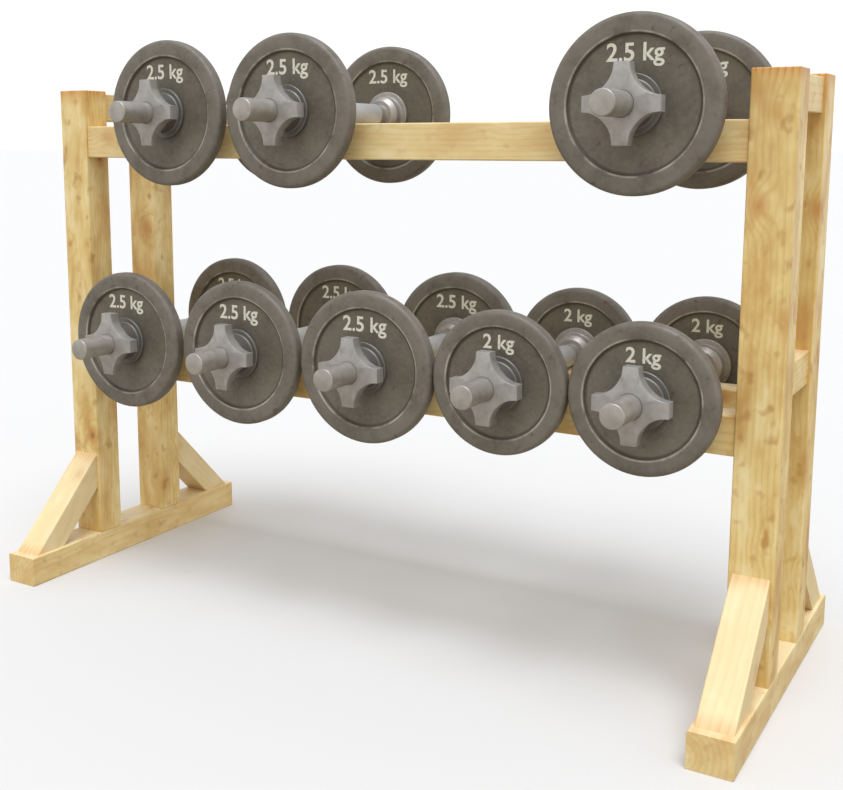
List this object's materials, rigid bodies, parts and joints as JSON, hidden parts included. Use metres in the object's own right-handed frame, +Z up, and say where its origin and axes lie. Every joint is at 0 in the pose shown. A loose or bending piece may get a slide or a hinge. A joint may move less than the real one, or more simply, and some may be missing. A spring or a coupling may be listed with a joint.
{
  "type": "dumbbell rack",
  "caption": "Two-tier wooden rack whose paired rails carry adjustable dumbbells laid across them, each with cast plates held by star collars.",
  "frame": {"origin": "on the floor, at the middle of the footprint of the two feet", "axes": "+X along the rails towards the right end frame, +Y from the front to the back, +Z up"},
  "size_m": [1.052, 0.454, 0.7698],
  "materials": {
    "pine": "planed, clear satin varnish",
    "dowel_beech": "turned, bare",
    "screw_steel": "zinc plated",
    "plate_iron": "sand cast, thin grey enamel",
    "bar_steel": "turned, zinc plated, knurled grip",
    "collar_steel": "cast, zinc plated"
  },
  "bodies": {
    "rack": {"left_foot": "pine", "right_foot": "pine", "left_front_post": "pine", "left_rear_post": "pine", "right_front_post": "pine", "right_rear_post": "pine", "left_front_brace": "pine", "left_rear_brace": "pine", "right_front_brace": "pine", "right_rear_brace": "pine", "low_front_rail": "pine", "low_rear_rail": "pine", "high_front_rail": "pine", "high_rear_rail": "pine", "low_left_crosspiece": "pine", "low_right_crosspiece": "pine", "high_left_crosspiece": "pine", "high_right_crosspiece": "pine", "joint_dowels": "dowel_beech", "foot_screws": "screw_steel"},
    "dumbbell_low_1": {"low_1_bar": "bar_steel", "low_1_front_plate": "plate_iron", "low_1_rear_plate": "plate_iron"},
    "collar_low_1_front": {"low_1_front_collar": "collar_steel"},
    "collar_low_1_rear": {"low_1_rear_collar": "collar_steel"},
    "dumbbell_low_2": {"low_2_bar": "bar_steel", "low_2_front_plate": "plate_iron", "low_2_rear_plate": "plate_iron"},
    "collar_low_2_front": {"low_2_front_collar": "collar_steel"},
    "collar_low_2_rear": {"low_2_rear_collar": "collar_steel"},
    "dumbbell_low_3": {"low_3_bar": "bar_steel", "low_3_front_plate": "plate_iron", "low_3_rear_plate": "plate_iron"},
    "collar_low_3_front": {"low_3_front_collar": "collar_steel"},
    "collar_low_3_rear": {"low_3_rear_collar": "collar_steel"},
    "dumbbell_low_4": {"low_4_bar": "bar_steel", "low_4_front_plate": "plate_iron", "low_4_rear_plate": "plate_iron"},
    "collar_low_4_front": {"low_4_front_collar": "collar_steel"},
    "collar_low_4_rear": {"low_4_rear_collar": "collar_steel"},
    "dumbbell_low_5": {"low_5_bar": "bar_steel", "low_5_front_plate": "plate_iron", "low_5_rear_plate": "plate_iron"},
    "collar_low_5_front": {"low_5_front_collar": "collar_steel"},
    "collar_low_5_rear": {"low_5_rear_collar": "collar_steel"},
    "dumbbell_high_1": {"high_1_bar": "bar_steel", "high_1_front_plate": "plate_iron", "high_1_rear_plate": "plate_iron"},
    "collar_high_1_front": {"high_1_front_collar": "collar_steel"},
    "collar_high_1_rear": {"high_1_rear_collar": "collar_steel"},
    "dumbbell_high_2": {"high_2_bar": "bar_steel", "high_2_front_plate": "plate_iron", "high_2_rear_plate": "plate_iron"},
    "collar_high_2_front": {"high_2_front_collar": "collar_steel"},
    "collar_high_2_rear": {"high_2_rear_collar": "collar_steel"},
    "dumbbell_high_3": {"high_3_bar": "bar_steel", "high_3_front_plate": "plate_iron", "high_3_rear_plate": "plate_iron"},
    "collar_high_3_front": {"high_3_front_collar": "collar_steel"},
    "collar_high_3_rear": {"high_3_rear_collar": "collar_steel"}
  },
  "joints": [
    {"name": "low_1_lift", "type": "slide", "parent": "rack", "child": "dumbbell_low_1", "axis": [0, 0, 1], "range_m": [0, 0.09]},
    {"name": "low_1_front_collar_turn", "type": "hinge", "parent": "dumbbell_low_1", "child": "collar_low_1_front", "pos_m": [-0.3735, -0.15, 0.3563], "axis": [0, -1, 0], "range_deg": [0, 360]},
    {"name": "low_1_rear_collar_turn", "type": "hinge", "parent": "dumbbell_low_1", "child": "collar_low_1_rear", "pos_m": [-0.3735, 0.15, 0.3563], "axis": [0, 1, 0], "range_deg": [0, 360]},
    {"name": "low_2_lift", "type": "slide", "parent": "rack", "child": "dumbbell_low_2", "axis": [0, 0, 1], "range_m": [0, 0.09]},
    {"name": "low_2_front_collar_turn", "type": "hinge", "parent": "dumbbell_low_2", "child": "collar_low_2_front", "pos_m": [-0.1715, -0.15, 0.3563], "axis": [0, -1, 0], "range_deg": [0, 360]},
    {"name": "low_2_rear_collar_turn", "type": "hinge", "parent": "dumbbell_low_2", "child": "collar_low_2_rear", "pos_m": [-0.1715, 0.15, 0.3563], "axis": [0, 1, 0], "range_deg": [0, 360]},
    {"name": "low_3_lift", "type": "slide", "parent": "rack", "child": "dumbbell_low_3", "axis": [0, 0, 1], "range_m": [0, 0.09]},
    {"name": "low_3_front_collar_turn", "type": "hinge", "parent": "dumbbell_low_3", "child": "collar_low_3_front", "pos_m": [0.0265, -0.15, 0.3563], "axis": [0, -1, 0], "range_deg": [0, 360]},
    {"name": "low_3_rear_collar_turn", "type": "hinge", "parent": "dumbbell_low_3", "child": "collar_low_3_rear", "pos_m": [0.0265, 0.15, 0.3563], "axis": [0, 1, 0], "range_deg": [0, 360]},
    {"name": "low_4_lift", "type": "slide", "parent": "rack", "child": "dumbbell_low_4", "axis": [0, 0, 1], "range_m": [0, 0.09]},
    {"name": "low_4_front_collar_turn", "type": "hinge", "parent": "dumbbell_low_4", "child": "collar_low_4_front", "pos_m": [0.2105, -0.15, 0.3563], "axis": [0, -1, 0], "range_deg": [0, 360]},
    {"name": "low_4_rear_collar_turn", "type": "hinge", "parent": "dumbbell_low_4", "child": "collar_low_4_rear", "pos_m": [0.2105, 0.15, 0.3563], "axis": [0, 1, 0], "range_deg": [0, 360]},
    {"name": "low_5_lift", "type": "slide", "parent": "rack", "child": "dumbbell_low_5", "axis": [0, 0, 1], "range_m": [0, 0.09]},
    {"name": "low_5_front_collar_turn", "type": "hinge", "parent": "dumbbell_low_5", "child": "collar_low_5_front", "pos_m": [0.384, -0.15, 0.3563], "axis": [0, -1, 0], "range_deg": [0, 360]},
    {"name": "low_5_rear_collar_turn", "type": "hinge", "parent": "dumbbell_low_5", "child": "collar_low_5_rear", "pos_m": [0.384, 0.15, 0.3563], "axis": [0, 1, 0], "range_deg": [0, 360]},
    {"name": "high_1_lift", "type": "slide", "parent": "rack", "child": "dumbbell_high_1", "axis": [0, 0, 1], "range_m": [0, 0.15]},
    {"name": "high_1_front_collar_turn", "type": "hinge", "parent": "dumbbell_high_1", "child": "collar_high_1_front", "pos_m": [-0.289, -0.15, 0.6733], "axis": [0, -1, 0], "range_deg": [0, 360]},
    {"name": "high_1_rear_collar_turn", "type": "hinge", "parent": "dumbbell_high_1", "child": "collar_high_1_rear", "pos_m": [-0.289, 0.15, 0.6733], "axis": [0, 1, 0], "range_deg": [0, 360]},
    {"name": "high_2_lift", "type": "slide", "parent": "rack", "child": "dumbbell_high_2", "axis": [0, 0, 1], "range_m": [0, 0.15]},
    {"name": "high_2_front_collar_turn", "type": "hinge", "parent": "dumbbell_high_2", "child": "collar_high_2_front", "pos_m": [-0.087, -0.15, 0.6733], "axis": [0, -1, 0], "range_deg": [0, 360]},
    {"name": "high_2_rear_collar_turn", "type": "hinge", "parent": "dumbbell_high_2", "child": "collar_high_2_rear", "pos_m": [-0.087, 0.15, 0.6733], "axis": [0, 1, 0], "range_deg": [0, 360]},
    {"name": "high_3_lift", "type": "slide", "parent": "rack", "child": "dumbbell_high_3", "axis": [0, 0, 1], "range_m": [0, 0.15]},
    {"name": "high_3_front_collar_turn", "type": "hinge", "parent": "dumbbell_high_3", "child": "collar_high_3_front", "pos_m": [0.364, -0.15, 0.6733], "axis": [0, -1, 0], "range_deg": [0, 360]},
    {"name": "high_3_rear_collar_turn", "type": "hinge", "parent": "dumbbell_high_3", "child": "collar_high_3_rear", "pos_m": [0.364, 0.15, 0.6733], "axis": [0, 1, 0], "range_deg": [0, 360]}
  ]
}
